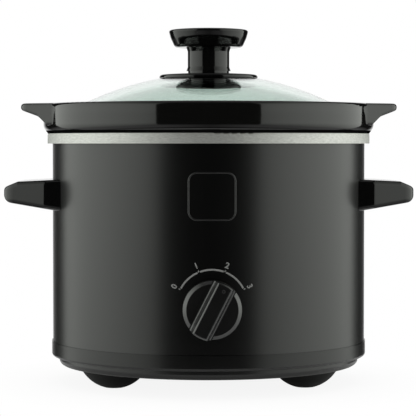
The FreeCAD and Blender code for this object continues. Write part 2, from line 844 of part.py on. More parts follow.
def dial():
    """The knob with its grip bar, and the shaft and rotor that turn with it."""
    turn = FreeCAD.Rotation(FreeCAD.Vector(0, 1, 0), d.dial_rest_angle.value)
    knob_back = d.shell_radius + d.dial_gap
    where = {"depth": -knob_back, "height": dial_height, "facing": turn * FRONT}
    grip_top = d.dial_disc_height + d.grip_height
    shaft_top = grip_top - d.shaft_end_cover
    hollow_radius = d.switch_nut_flats / math.sqrt(3) + d.dial_hollow_clearance
    hollow_depth = d.switch_nut_height + d.bushing_proud - d.dial_gap + d.dial_hollow_gap
    chord = d.shaft_radius - d.shaft_flat_depth
    knob = new_body("control_knob")
    revolve(knob, [
        Corner(hollow_radius, 0), Corner(d.dial_radius, 0),
        Corner(d.dial_radius, d.dial_disc_height - d.dial_bevel, d.dial_edge_round),
        Corner(d.dial_radius - d.dial_bevel, d.dial_disc_height, d.dial_edge_round),
        Corner(0, d.dial_disc_height),
        Corner(0, hollow_depth), Corner(hollow_radius, hollow_depth),
    ])
    grip_foot = d.dial_disc_height - d.dial_bevel - d.dial_edge_round
    foot_half = d.grip_base_width / 2
    web_half = foot_half + d.grip_foot_round
    top_half = d.grip_top_width / 2
    grip = draw_outline(new_sketch(knob, "XZ_Plane"), [
        Corner(-web_half, grip_foot), Corner(web_half, grip_foot), Corner(web_half, d.dial_disc_height),
        Corner(foot_half, d.dial_disc_height, d.grip_foot_round),
        Corner(top_half, grip_top, d.grip_edge_round), Corner(-top_half, grip_top, d.grip_edge_round),
        Corner(-foot_half, d.dial_disc_height, d.grip_foot_round), Corner(-web_half, d.dial_disc_height),
    ])
    pad(knob, grip, d.dial_radius * 2, midplane=True)
    beyond = d.dial_radius + d.grip_base_width
    above = grip_top + d.grip_edge_round
    groove(knob, [
        Corner(d.dial_radius, grip_foot), Corner(beyond, grip_foot), Corner(beyond, above),
        Corner(0, above), Corner(0, grip_top), Corner(d.dial_radius, grip_top, d.grip_edge_round),
    ])
    socket = new_sketch(knob, "XY_Plane", shaft_top + d.thread_clearance)
    draw_d_shape(socket, d.shaft_radius + d.thread_clearance, chord + d.thread_clearance)
    pocket(knob, socket, shaft_top)
    place(knob, **where)
    shaft_foot = switch_front - d.switch_depth + d.switch_wall / 2 - knob_back
    shaft = new_body("switch_shaft")
    stem = draw_circle(new_sketch(shaft, "XY_Plane", shaft_foot), 0, 0, d.shaft_radius)
    pad(shaft, stem, hollow_depth - shaft_foot)
    tang = draw_d_shape(new_sketch(shaft, "XY_Plane", hollow_depth), d.shaft_radius, chord)
    pad(shaft, tang, shaft_top - hollow_depth)
    place(shaft, **where)
    rotor_top = switch_front - d.switch_wall * 2 - knob_back
    bore = d.shaft_radius + d.thread_clearance
    turned(
        "switch_rotor",
        rectangle(bore, rotor_top - d.rotor_thickness, d.rotor_radius, rotor_top), **where,
    )


def fuse_parts():
    """The thermal fuse in its clip under the heat shield."""
    drop = d.fuse_radius + d.clip_wall
    clip = new_body("fuse_clip")
    sketch = new_sketch(clip, "YZ_Plane")
    draw_outline(sketch, rectangle(-drop, -drop * 2, drop, 0))
    draw_circle(sketch, 0, -drop, d.fuse_radius + d.thread_clearance)
    pad(clip, sketch, d.clip_width, midplane=True)
    place(clip, depth=d.fuse_setback, height=shield_bottom)
    turned(
        "thermal_fuse", rectangle(0, -d.fuse_length / 2, d.fuse_radius, d.fuse_length / 2),
        depth=d.fuse_setback, height=shield_bottom - drop, facing=RIGHT,
    )


def terminal_parts():
    """The block where the mains lead would be joined, and its three screws."""
    block = new_body("terminal_block")
    plan = new_sketch(block, "XY_Plane")
    draw_outline(plan, centered_rectangle(d.block_length, d.block_depth))
    pad(block, plan, d.block_height)
    ways = new_sketch(block, "XZ_Plane")
    heads = new_sketch(block, "XY_Plane", d.block_height)
    places = (-d.block_pitch, size(0), d.block_pitch)
    for across in places:
        draw_circle(ways, across, d.block_height / 2, d.lead_radius + d.bolt_clearance)
        draw_circle(heads, across, 0, d.terminal_screw_radius + d.thread_clearance)
    pocket(block, ways, d.block_depth, midplane=True)
    screw_depth = d.block_height / 2 - d.lead_radius - d.bolt_clearance
    pocket(block, heads, screw_depth)
    place(block, depth=block_center, height=tray_floor)
    screws = []
    for across in places:
        screw = document.addObject("Part::Cylinder", "terminal_screw")
        screw.setExpression("Radius", d.terminal_screw_radius.formula)
        screw.setExpression("Height", d.terminal_screw_length.formula)
        seat = tray_floor + d.block_height - screw_depth
        screws.append(place(screw, across=across, depth=block_center, height=seat))
    group("terminal_screws", screws)


def gland_parts():
    """The bush where the mains lead enters at the back, and the nut behind the shell."""
    turned("cord_gland", [
        Corner(d.gland_bore_radius, -d.gland_thread_length),
        Corner(d.gland_thread_radius, -d.gland_thread_length), Corner(d.gland_thread_radius, 0),
        Corner(d.gland_flange_radius, 0), Corner(d.gland_flange_radius, d.gland_flange_thickness),
        Corner(d.gland_nose_radius, d.gland_nose_length), Corner(d.gland_bore_radius, d.gland_nose_length),
    ], depth=d.shell_radius, height=gland_height, facing=BACK)
    nut_face = leg(shell_inside, d.gland_nut_flats / math.sqrt(3))
    nut(
        "gland_nut", d.gland_nut_flats, d.gland_nut_height, d.gland_thread_radius + d.thread_clearance,
        depth=nut_face - d.gland_nut_height, height=gland_height, facing=BACK,
    )


# Side handles hang below the skirt
handle_top = skirt_bottom - d.handle_below_skirt
handle_bottom = handle_top - d.handle_root_height
handle_middle = (handle_top + handle_bottom) / 2
handle_face = d.shell_radius + d.handle_gap
handle_tip = d.shell_radius + d.handle_reach
handle_screw_face = leg(shell_inside, d.handle_screw_spacing / 2 + d.handle_screw_head_radius)


def lobe_plan(inner_radius, root_width, side):
    """Plan of a handle or an ear: a tongue on a circle about the pot's axis, from one side's corners."""
    root_half = root_width / 2
    inner = leg(inner_radius, root_half)
    other_side = [Corner(corner.across, -corner.up, corner.rounding) for corner in side]
    return [
        Corner(inner, -root_half), *other_side, *reversed(side), Corner(inner, root_half, domed=True),
    ]


def handles():
    body = new_body("handle_right")
    plan = lobe_plan(handle_face, d.handle_root_width, [
        Corner(
            d.shell_radius + d.handle_knee_reach, d.handle_root_width / 2 - d.handle_knee_draft,
            d.handle_knee_round,
        ),
        Corner(handle_tip, d.handle_tip_width / 2, d.handle_plan_round),
    ])
    pad(body, draw_outline(new_sketch(body, "XY_Plane", handle_bottom), plan), d.handle_root_height)
    start = leg(handle_face, d.handle_root_width / 2)
    beyond = handle_tip + d.handle_plan_round
    tip_top = handle_top - d.handle_tip_drop
    side = draw_outline(new_sketch(body, "XZ_Plane"), [
        Corner(start, handle_bottom), Corner(handle_tip, tip_top - d.handle_tip_height, d.handle_tip_round),
        Corner(handle_tip, tip_top),
        Corner(handle_tip - d.handle_shoulder_length, handle_top - d.handle_shoulder_drop),
        Corner(start, handle_top), Corner(beyond, handle_top), Corner(beyond, handle_bottom),
    ])
    pocket(body, side, d.handle_root_width, midplane=True)
    round_rim(body, handle_face + d.handle_gap, d.handle_edge_round)
    recess_start = d.shell_radius + d.handle_recess_start
    recess = new_sketch(body, "XY_Plane", handle_top - d.handle_roof)
    draw_outline(recess, rectangle(
        recess_start, -d.handle_recess_width / 2,
        recess_start + d.handle_recess_length, d.handle_recess_width / 2,
    ))
    pocket(body, recess, d.handle_root_height)
    bores = new_sketch(body, "YZ_Plane")
    for spread in (-d.handle_screw_spacing / 2, d.handle_screw_spacing / 2):
        draw_circle(bores, spread, handle_middle, d.handle_screw_radius + d.thread_clearance)
    pocket(body, bores, handle_screw_face + d.handle_screw_length, reverse=True)
    keep(mirrored("handle_left", body), "handle_left")
    outline = screw_outline(
        d.handle_screw_radius, d.handle_screw_length,
        d.handle_screw_head_radius, d.handle_screw_head_height,
    )
    screws = []
    for across, facing in ((handle_screw_face, RIGHT), (-handle_screw_face, LEFT)):
        for spread in (-d.handle_screw_spacing / 2, d.handle_screw_spacing / 2):
            screws.append(turned(
                "handle_screw", outline, member=True,
                across=across, depth=spread, height=handle_middle, facing=facing,
            ))
    group("handle_screws", screws)


def crock_ear():
    """One of the crock's ears, rooted in the wall of its rim."""
    body = new_body("crock_ear", member=True)
    tip = rim_radius + d.ear_reach
    side = [Corner(tip, d.ear_tip_width / 2, d.ear_plan_round)]
    plan = lobe_plan(rim_radius - d.ear_root_overlap, d.ear_width, side)
    pad(body, draw_outline(new_sketch(body, "XY_Plane", rim_top), plan), d.ear_foot_height, reverse=True)
    ear_bottom = rim_top - d.ear_foot_height
    underside = draw_outline(new_sketch(body, "XZ_Plane"), [
        Corner(rim_radius - d.ear_foot_inset, ear_bottom), Corner(tip, ear_bottom),
        Corner(tip, rim_top - d.ear_tip_height),
        Corner(rim_radius + d.ear_root_gap, rim_top - d.ear_root_height, d.ear_root_round),
    ])
    pocket(body, underside, d.ear_width, midplane=True)
    round_rim(body, rim_radius - d.ear_root_overlap / 2, d.ear_edge_round)
    return body


def crock():
    inner = crock_radius - d.crock_wall
    seat_inner = seat_radius - d.seat_width
    bowl = turned("crock_bowl", [
        Corner(0, crock_bottom), Corner(crock_radius - d.crock_taper, crock_bottom, d.crock_round),
        Corner(crock_radius, flange_top), Corner(rim_radius - d.rim_draft, flange_top, d.rim_lower_round),
        Corner(rim_radius, rim_top, d.rim_top_round), Corner(seat_radius, rim_top, d.rim_top_round),
        Corner(seat_radius, seat_height), Corner(seat_inner, seat_height),
        Corner(inner, seat_height - d.seat_slope_height),
        Corner(inner - d.crock_taper, crock_bottom + d.crock_floor, d.crock_round - d.crock_wall / 2),
        Corner(0, crock_bottom + d.crock_floor),
    ], member=True)
    ear = crock_ear()
    other_ear = mirrored("other_ear", ear)
    whole = document.addObject("Part::MultiFuse", "crock")
    whole.Shapes = [bowl, ear, other_ear]
    keep(whole, "crock")


def on_ball(radius, across):
    """Height of the lid's dome, or of a surface that follows it, at a distance from the axis."""
    return dome_center + leg(radius, across)


def lid():
    edge_inner = lid_radius - d.glass_edge_flat
    hole = d.glass_hole_radius
    turned("lid_glass", [
        Corner(edge_inner, seat_height), Corner(lid_radius, seat_height),
        Corner(lid_radius, on_ball(d.glass_radius, lid_radius), domed=True),
        Corner(hole, on_ball(d.glass_radius, hole)),
        Corner(hole, on_ball(glass_inner_radius, hole), domed=True),
    ])
    passing = d.lid_screw_radius + d.bolt_clearance
    turned("lid_gasket", [
        Corner(passing, on_ball(d.glass_radius, passing), domed=True),
        Corner(d.gasket_radius, on_ball(d.glass_radius, d.gasket_radius)),
        Corner(d.gasket_radius, on_ball(gasket_ball_radius, d.gasket_radius), domed=True),
        Corner(passing, on_ball(gasket_ball_radius, passing)),
    ])
    skirt_edge_bottom = on_ball(skirt_ball_radius, d.skirt_radius)
    skirt_top = dome_center + gasket_ball_radius + d.skirt_cover
    hub_foot = skirt_top - d.hub_height
    recess = d.gasket_radius + d.gasket_clearance
    neck_foot = d.neck_radius + d.neck_flare
    turned("knob_skirt", [
        Corner(passing, on_ball(gasket_ball_radius, passing), domed=True),
        Corner(recess, on_ball(gasket_ball_radius, recess)),
        Corner(recess, on_ball(skirt_ball_radius, recess), domed=True),
        Corner(d.skirt_radius, skirt_edge_bottom),
        Corner(d.skirt_radius, skirt_edge_bottom + d.skirt_edge, d.skirt_edge_round),
        Corner(d.hub_radius, hub_foot), Corner(d.hub_radius, skirt_top), Corner(passing, skirt_top),
    ])
    threaded = d.lid_screw_radius + d.thread_clearance
    cap_bottom = skirt_top + d.neck_height
    cap_edge = cap_bottom + d.cap_height
    bore_top = skirt_top + d.lid_screw_grip + d.bolt_clearance
    turned("lid_knob", [
        Corner(threaded, skirt_top), Corner(neck_foot, skirt_top),
        Corner(d.neck_radius, skirt_top + d.neck_flare_height),
        Corner(d.neck_radius, cap_bottom - d.neck_flare_height), Corner(neck_foot, cap_bottom),
        Corner(d.cap_lower_radius, cap_bottom, d.cap_round),
        Corner(d.cap_flank_radius, cap_bottom + d.cap_flank_height, d.cap_flank_round),
        Corner(d.cap_radius, cap_edge, d.cap_edge_round),
        Corner(d.cap_radius - d.crown_inset, cap_edge + d.crown_step, domed=True),
        Corner(0, cap_edge + d.cap_crown), Corner(0, bore_top), Corner(threaded, bore_top),
    ])
    retainer_shoulder = on_ball(glass_inner_radius, d.retainer_top_radius)
    retainer_bottom = retainer_shoulder - d.retainer_height
    turned("lid_retainer", [
        Corner(passing, retainer_bottom), Corner(d.retainer_radius, retainer_bottom),
        Corner(d.retainer_flank_radius, retainer_bottom + d.retainer_flank_height, d.retainer_flank_round),
        Corner(d.retainer_top_radius, retainer_shoulder, domed=True),
        Corner(passing, on_ball(glass_inner_radius, passing)),
    ])
    shank = skirt_top + d.lid_screw_grip - retainer_bottom
    turned(
        "lid_screw",
        screw_outline(d.lid_screw_radius, shank, d.lid_screw_head_radius, d.lid_screw_head_height),
        height=retainer_bottom,
    )


def tube(label, route, radius):
    """A lead along straight runs joined by arcs, each as large as its two runs allow."""
    edges = []
    here = route[0]
    for before, corner, after in zip(route, route[1:], route[2:]):
        incoming = (corner - before).normalize()
        outgoing = (after - corner).normalize()
        reach = BEND_SHARE * min((corner - before).Length, (after - corner).Length)
        first = corner - incoming * reach
        last = corner + outgoing * reach
        half_turn = incoming.getAngle(outgoing) / 2
        bend = reach / math.tan(half_turn)
        toward = (outgoing - incoming).normalize()
        middle = corner + toward * (bend / math.cos(half_turn) - bend)
        edges.append(Part.LineSegment(here, first).toShape())
        edges.append(Part.Arc(first, middle, last).toShape())
        here = last
    edges.append(Part.LineSegment(here, route[-1]).toShape())
    start = (route[1] - route[0]).normalize()
    section = Part.Wire(Part.makeCircle(radius, route[0], start))
    feature = document.addObject("Part::Feature", label)
    feature.Shape = Part.Wire(edges).makePipeShell([section], True, False)
    length = sum(edge.Length for edge in edges)
    expected = math.pi * radius ** 2 * length
    if abs(feature.Shape.Volume - expected) > expected * TUBE_VOLUME_SHARE:
        raise RuntimeError(f"{label} is not a tube of its own length")
    return keep(feature, label)


def spot(across, depth, height):
    """A point of a lead's route, from sizes."""
    return FreeCAD.Vector(size(across).value, size(depth).value, size(height).value)


def leads():
    """Four leads join the terminal block, the switch, the fuse and the two ends of the heater."""
    radius = d.lead_radius.value
    run = d.lead_run
    block_face = block_center - d.block_depth / 2
    block_level = tray_floor + d.block_height / 2
    blade_end = d.blade_length - switch_rear
    blade_left = -d.blade_spread / 2
    blade_right = d.blade_spread / 2
    blade_low = dial_height - d.blade_rise / 2
    blade_high = dial_height + d.blade_rise / 2
    over_boss = recess_ceiling + d.tray_wall + d.lead_rise
    fuse_end = d.fuse_length / 2
    fuse_level = shield_bottom - d.fuse_radius - d.clip_wall
    lug_side = d.heater_slot / 2 + d.lug_thickness / 2
    lug_depth = shell_inside - d.lead_radius - d.lead_clearance
    lug_bottom = clamp_height - d.lug_height / 2
    under_shield = shield_bottom - d.lead_rise
    between = (block_level + fuse_level) / 2
    tube("lead_supply", [
        spot(-d.block_pitch, block_face, block_level), spot(-d.block_pitch, block_face - run, block_level),
        spot(-d.block_pitch - run / 2, 0, over_boss), spot(blade_left, blade_end + run, blade_low),
        spot(blade_left, blade_end, blade_low),
    ], radius)
    tube("lead_switched", [
        spot(blade_right, blade_end, blade_high), spot(blade_right, blade_end + run, blade_high),
        spot(blade_right + run, 0, blade_low), spot(blade_right + run, d.fuse_setback, blade_low),
        spot(lug_side, lug_depth, under_shield), spot(lug_side, lug_depth, lug_bottom),
    ], radius)
    tube("lead_return", [
        spot(d.block_pitch, block_face, block_level), spot(d.block_pitch, block_face - run, block_level),
        spot(d.block_pitch + run / 2, d.fuse_setback - run, between),
        spot(fuse_end + run / 2, d.fuse_setback, fuse_level), spot(fuse_end, d.fuse_setback, fuse_level),
    ], radius)
    tube("lead_heater", [
        spot(-fuse_end, d.fuse_setback, fuse_level), spot(-fuse_end - run / 2, d.fuse_setback, fuse_level),
        spot(-fuse_end - run / 2, (d.fuse_setback + lug_depth) / 2, under_shield),
        spot(-lug_side, lug_depth, under_shield), spot(-lug_side, lug_depth, lug_bottom),
    ], radius)


base_tray()
feet()
outer_shell()
rear_panel()
heating_liner()
tie_parts()
heater()
rotary_switch()
dial()
fuse_parts()
terminal_parts()
gland_parts()
leads()
handles()
crock()
lid()

document.recompute()
for feature in document.Objects:
    if "Invalid" in feature.State or "Error" in feature.State:
        raise RuntimeError(f"{feature.Label} failed: {feature.State}")
    cuts = feature.TypeId in ("PartDesign::Pocket", "PartDesign::Groove")
    if cuts and feature.Shape.Volume >= feature.BaseFeature.Shape.Volume:
        raise RuntimeError(f"{feature.Label} cuts nothing")
for piece in pieces:
    if piece.Shape.isNull() or not piece.Shape.isValid():
        raise RuntimeError(f"{piece.Label} has no valid shape")

os.makedirs("parts", exist_ok=True)
for piece in pieces:
    piece.Shape.exportStep(f"parts/{piece.Label}.step")
    print(piece.Label, len(piece.Shape.Solids), round(piece.Shape.Volume, 2))
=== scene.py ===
"""Slow cooker: looks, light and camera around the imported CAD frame, in metres."""
import json
import math

import bmesh
import bpy
from mathutils import Matrix, Vector


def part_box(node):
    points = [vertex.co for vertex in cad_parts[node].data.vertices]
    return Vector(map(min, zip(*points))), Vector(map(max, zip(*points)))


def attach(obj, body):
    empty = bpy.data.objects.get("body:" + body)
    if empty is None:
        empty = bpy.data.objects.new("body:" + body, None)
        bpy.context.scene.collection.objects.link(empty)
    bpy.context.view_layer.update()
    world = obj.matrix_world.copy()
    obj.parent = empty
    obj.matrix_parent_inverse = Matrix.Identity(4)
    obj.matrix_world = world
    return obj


MM = 0.001

# The photograph's frame and the camera fitted to it
IMAGE_PIXELS = 416
FOCAL_PIXELS = 1863
HORIZON_PIXEL = 144
AXIS_PIXEL = 208.55
CAMERA_DISTANCE = 1.2
CAMERA_HEIGHT = 0.1523
CAMERA_AZIMUTH = math.radians(-1.2)
SENSOR_WIDTH = 36
CLIP_START = 0.05
CLIP_END = 20

# Two tall softboxes at the sides, seen from the pot between these bearings off the camera,
# with the shares of their light at heights from bottom to top
SOFTBOX_DISTANCE = 1.0
SOFTBOX_NEAR = math.radians(34.5)
SOFTBOX_FULL = math.radians(80)
SOFTBOX_FAR = math.radians(126.5)
SOFTBOX_LOW = -0.45
SOFTBOX_HIGH = 2.2
SOFTBOX_SHARES = ((-0.45, 0.45), (0.2, 1.0), (0.7, 0.85), (1.2, 0.5), (2.2, 0.25))
SOFTBOX_COLOR = (0.965, 1.0, 0.945, 1)
SOFTBOX_RADIANCE = 1.56
SOFTBOX_NEAR_RADIANCE = 0.86
TOP_LIGHT_HEIGHT = 1.3
TOP_LIGHT_SIZE = 0.9
TOP_LIGHT_RADIANCE = 0.35

# White paper under the pot, and how much of it is left to the shadow from its middle outwards,
# as the camera sees it and as the pot's underside mirrors it
PAPER_RADIUS = 0.16
PAPER_SEGMENTS = 96
PAPER_COLOR = (0.8, 0.8, 0.8, 1)
PAPER_SHADOW_SHARES = ((0.0, 0.12), (0.09, 0.09), (0.12, 0.04), (0.16, 0.0))
PAPER_MIRRORED_SHARES = ((0.0, 0.97), (0.11, 0.93), (0.13, 0.75), (0.16, 0.6))

# What surrounds the pot: a white backdrop up to these bearings and heights, a dim room that still
# fills rough surfaces with light, and a pale table between these slopes below the horizon
WHITE = (1, 1, 1, 1)
BACKDROP_FULL = math.radians(12)
BACKDROP_END = math.radians(24)
BACKDROP_TOP = 0.5
BACKDROP_TOP_END = 0.75
ROOM_LEVEL = 0.012
ROOM_FILL = 1.0
REAR_START = 0.2
TABLE_FRONT_LEVEL = 0.14
TABLE_SIDE_LEVEL = 0.6
TABLE_START = -0.2
TABLE_FULL = -0.5
TABLE_SHADE_START = -0.75
TABLE_SHADE_FULL = -0.92

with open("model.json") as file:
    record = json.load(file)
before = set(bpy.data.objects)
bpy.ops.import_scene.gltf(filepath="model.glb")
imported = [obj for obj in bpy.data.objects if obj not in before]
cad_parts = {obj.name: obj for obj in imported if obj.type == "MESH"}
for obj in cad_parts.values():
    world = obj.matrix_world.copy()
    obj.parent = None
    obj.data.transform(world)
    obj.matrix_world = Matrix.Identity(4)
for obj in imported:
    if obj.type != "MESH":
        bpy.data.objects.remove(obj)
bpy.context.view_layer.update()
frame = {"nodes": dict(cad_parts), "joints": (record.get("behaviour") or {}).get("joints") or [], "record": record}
nodes = frame["nodes"]
slots = {row["node"]: row["material_slot"] for row in frame["record"]["subparts"]}
joints = {joint["name"]: joint for joint in frame["joints"]}
shell_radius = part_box("outer_shell")[1].x
dial_center = Vector(joints["dial_turn"]["pos_m"])


# Node helpers, with the colour sockets of a mix node, which share their names with others

MIX_DARK = 6
MIX_LIGHT = 7
MIX_RESULT = 2


class Nodes:
    """A short way to add and link shader nodes."""

    def __init__(self, tree):
        self.tree = tree

    def add(self, kind, settings=None, **inputs):
        node = self.tree.nodes.new(kind)
        for name, value in (settings or {}).items():
            setattr(node, name, value)
        for name, value in inputs.items():
            self.set(node.inputs[name.replace("_", " ")], value)
        return node

    def set(self, socket, value):
        if isinstance(value, bpy.types.NodeSocket):
            self.tree.links.new(value, socket)
        else:
            socket.default_value = value

    def math(self, operation, first, second=0.0):
        node = self.add("ShaderNodeMath", {"operation": operation})
        self.set(node.inputs[0], first)
        self.set(node.inputs[1], second)
        return node.outputs[0]

    def noise(self, vector, scale, detail=3.0, roughness=0.5):
        return self.add(
            "ShaderNodeTexNoise", Vector=vector, Scale=scale, Detail=detail, Roughness=roughness
        ).outputs["Fac"]

    def map_range(self, value, source, target):
        """Carries a value from one pair of bounds to another."""
        node = self.add("ShaderNodeMapRange", Value=value)
        for name, bound in zip(("From Min", "From Max", "To Min", "To Max"), (*source, *target)):
            node.inputs[name].default_value = bound
        return node.outputs["Result"]

    def spread(self, value, low, high):
        """Goes from low to high as a value goes from 0 to 1."""
        return self.map_range(value, (0.0, 1.0), (low, high))

    def between(self, value, none, full):
        """Rises from 0 to 1 as a value goes from one bound to the other."""
        return self.map_range(value, (none, full), (0.0, 1.0))

    def stretch(self, vector, scale):
        return self.add("ShaderNodeMapping", Vector=vector, Scale=scale).outputs["Vector"]

    def ramp(self, value, stops):
        """A level that follows a value through stops, each a value and a level from 0 to 1."""
        first, last = stops[0][0], stops[-1][0]
        node = self.add("ShaderNodeValToRGB")
        share = self.math("DIVIDE", self.math("SUBTRACT", value, first), last - first)
        self.set(node.inputs["Fac"], share)
        elements = node.color_ramp.elements
        while len(elements) < len(stops):
            elements.new(1.0)
        for element, (place, level) in zip(elements, stops):
            element.position = (place - first) / (last - first)
            element.color = (level, level, level, 1)
        return node.outputs["Color"]

    def tint(self, value, dark, light):
        node = self.add("ShaderNodeMix", {"data_type": "RGBA"})
        self.set(node.inputs["Factor"], value)
        node.inputs[MIX_DARK].default_value = (*dark, 1)
        node.inputs[MIX_LIGHT].default_value = (*light, 1)
        return node.outputs[MIX_RESULT]


def new_material(name):
    """A material with its Principled shader, node helper and object coordinates in metres."""
    material = bpy.data.materials.new(name)
    material.use_nodes = True
    tree = material.node_tree
    shader = tree.nodes["Principled BSDF"]
    make = Nodes(tree)
    place = make.add("ShaderNodeTexCoord").outputs["Object"]
    return material, shader, make, place


# Scales, detail and relief of the patterns that the materials share

PATCH_SCALE = 60.0
PATCH_DETAIL = 4.0
GRAIN_DETAIL = 2.0
GRAIN_ROUGHNESS = 0.6
BRUSH_DETAIL = 4.0
BRUSH_ROUGHNESS = 0.7
BRUSH_RELIEF = 0.02 * MM
METAL_PATCH_SCALE = 40.0
GLASS_WAVE_SCALE = 25.0
GLASS_WAVE_DETAIL = 1.0
GLASS_WAVE_RELIEF = 0.02 * MM
GLASS_IOR = 1.5


def grey(level):
    return level, level, level


def surface(name, dark, light, roughness, grain, relief, **sockets):
    """A coated or moulded surface: mottled colour, uneven roughness and a relief of fine grain."""
    material, shader, make, place = new_material(name)
    patches = make.noise(place, PATCH_SCALE, PATCH_DETAIL)
    fine = make.noise(place, 1 / grain, GRAIN_DETAIL, GRAIN_ROUGHNESS)
    make.set(shader.inputs["Base Color"], make.tint(patches, dark, light))
    make.set(shader.inputs["Roughness"], make.spread(patches, *roughness))
    bump = make.add("ShaderNodeBump", Height=fine, Strength=1.0, Distance=relief)
    make.set(shader.inputs["Normal"], bump.outputs["Normal"])
    for socket, value in sockets.items():
        shader.inputs[socket.replace("_", " ")].default_value = value
    return material


def brushed_metal(name, dark, light, roughness, lines, metallic=1.0):
    """Bare metal with fine lines along one direction, given as scales across and along them."""
    material, shader, make, place = new_material(name)
    fine = make.noise(make.stretch(place, lines), 1.0, BRUSH_DETAIL, BRUSH_ROUGHNESS)
    patches = make.noise(place, METAL_PATCH_SCALE)
    make.set(shader.inputs["Base Color"], make.tint(fine, dark, light))
    make.set(shader.inputs["Roughness"], make.spread(patches, *roughness))
    bump = make.add("ShaderNodeBump", Height=fine, Strength=1.0, Distance=BRUSH_RELIEF)
    make.set(shader.inputs["Normal"], bump.outputs["Normal"])
    shader.inputs["Metallic"].default_value = metallic
    return material


def clear_glass(name, color):
    """Tinted glass with faint waves."""
    material, shader, make, place = new_material(name)
    waves = make.noise(place, GLASS_WAVE_SCALE, GLASS_WAVE_DETAIL)
    bump = make.add("ShaderNodeBump", Height=waves, Strength=1.0, Distance=GLASS_WAVE_RELIEF)
    make.set(shader.inputs["Normal"], bump.outputs["Normal"])
    shader.inputs["Base Color"].default_value = (*color, 1)
    shader.inputs["Roughness"].default_value = 0.0
    shader.inputs["IOR"].default_value = GLASS_IOR
    shader.inputs["Transmission Weight"].default_value = 1.0
    return material


MATERIALS = {
    "shell_black": surface(
        "satin_enamel", grey(0.0004), grey(0.0006), (0.28, 0.3), 0.35 * MM, 0.003 * MM,
        Specular_IOR_Level=0.8,
    ),
    "bare_metal": brushed_metal(
        "brushed_aluminium", (0.44, 0.44, 0.425), (0.93, 0.93, 0.9), (0.56, 0.66),
        (350.0, 350.0, 1400.0), 0.95,
    ),
    "tray_black": surface(
        "moulded_plastic", grey(0.0009), grey(0.0014), (0.26, 0.32), 0.3 * MM, 0.004 * MM,
        Specular_IOR_Level=0.6,
    ),
    "foot_rubber": surface(
        "black_rubber", grey(0.0015), grey(0.0023), (0.45, 0.6), 0.4 * MM, 0.01 * MM,
        Specular_IOR_Level=0.38,
    ),
    "handle_black": surface(
        "phenolic_black", grey(0.0027), grey(0.0038), (0.06, 0.1), 5.0 * MM, 0.002 * MM,
        Specular_IOR_Level=0.58,
    ),
    "retainer_black": surface(
        "matte_moulding", grey(0.0027), grey(0.0041), (0.5, 0.6), 0.3 * MM, 0.008 * MM,
    ),
    "blackened_steel": surface(
        "black_oxide", grey(0.003), grey(0.0045), (0.4, 0.5), 0.3 * MM, 0.004 * MM,
    ),
    "dial_black": surface(
        "dial_plastic", grey(0.0009), grey(0.0014), (0.28, 0.34), 0.3 * MM, 0.003 * MM,
        Specular_IOR_Level=1.0, IOR=1.58,
    ),
    "glaze_black": surface(
        "stoneware_glaze", (0.0041, 0.0041, 0.0037), (0.005, 0.005, 0.0046), (0.05, 0.08),
        6.0 * MM, 0.008 * MM, Specular_IOR_Level=0.7,
    ),
    "lid_clear": clear_glass("lid_glass", (0.81, 0.915, 0.862)),
    "steel": brushed_metal(
        "plated_steel", grey(0.5), (0.68, 0.68, 0.67), (0.25, 0.35), (900.0, 900.0, 900.0),
    ),
    "shield_sheet": brushed_metal(
        "tinned_sheet", (0.52, 0.52, 0.5), (0.7, 0.7, 0.68), (0.35, 0.48), (300.0, 40.0, 300.0),
    ),
    "moulded_inner": surface(
        "moulded_cream", (0.5, 0.47, 0.4), (0.58, 0.55, 0.47), (0.45, 0.55), 0.5 * MM, 0.01 * MM,
    ),
    "contact_brass": brushed_metal(
        "contact_brass", (0.6, 0.45, 0.2), (0.74, 0.58, 0.28), (0.3, 0.4), (600.0, 60.0, 600.0),
    ),
    "gland_black": surface(
        "gland_plastic", grey(0.002), grey(0.0034), (0.42, 0.5), 0.3 * MM, 0.008 * MM,
    ),
    "lead_insulation": surface(
        "glass_sleeve", (0.55, 0.53, 0.48), (0.68, 0.66, 0.6), (0.6, 0.75), 0.4 * MM, 0.03 * MM,
    ),
}
PRINT = surface(
    "print_ink", (0.17, 0.17, 0.166), (0.2, 0.2, 0.196), (0.5, 0.6), 0.2 * MM, 0.004 * MM,
)
# Painted shade: a black ring with no reflection, standing in for the dark gap under the crock's rim
GAP_SHADE = surface(
    "painted_gap_shade", grey(0.002), grey(0.0026), (0.8, 0.9), 0.3 * MM, 0.004 * MM,
    Specular_IOR_Level=0.0,
)
# The pointer's pale ring: a mark, and a painted highlight standing in for the light on a small dimple's rim
POINTER_HIGHLIGHT = surface(
    "pointer_mark_highlight", grey(0.025), grey(0.035), (0.4, 0.5), 0.2 * MM, 0.004 * MM,
)
# Painted highlight: the badge ridge's enamel is much lighter than the drum's, standing in for the light its edges
# catch
HIGHLIGHT_RIDGE = surface(
    "painted_highlight_enamel", grey(0.009), grey(0.012), (0.3, 0.36), 0.35 * MM, 0.003 * MM,
    Specular_IOR_Level=0.8,
)

for node, piece in nodes.items():
    piece.data.materials.clear()
    piece.data.materials.append(MATERIALS[slots[node]])


# Even shading on the crock's rim and the bright flange, which are turned about the upright axis

EVEN_FROM = 101.8 * MM
FLANGE_EDGE_SLOPE = math.radians(80)
RING_STEP = 0.05 * MM
RING_LEAST = 40
SLOPE_STEP = math.radians(10)
TURNED_TWIST = 0.4


def slope(normal, outward):
    """A normal's angle above the horizontal, in the upright plane through the axis."""
    return math.atan2(normal.z, normal.x * outward.x + normal.y * outward.y)


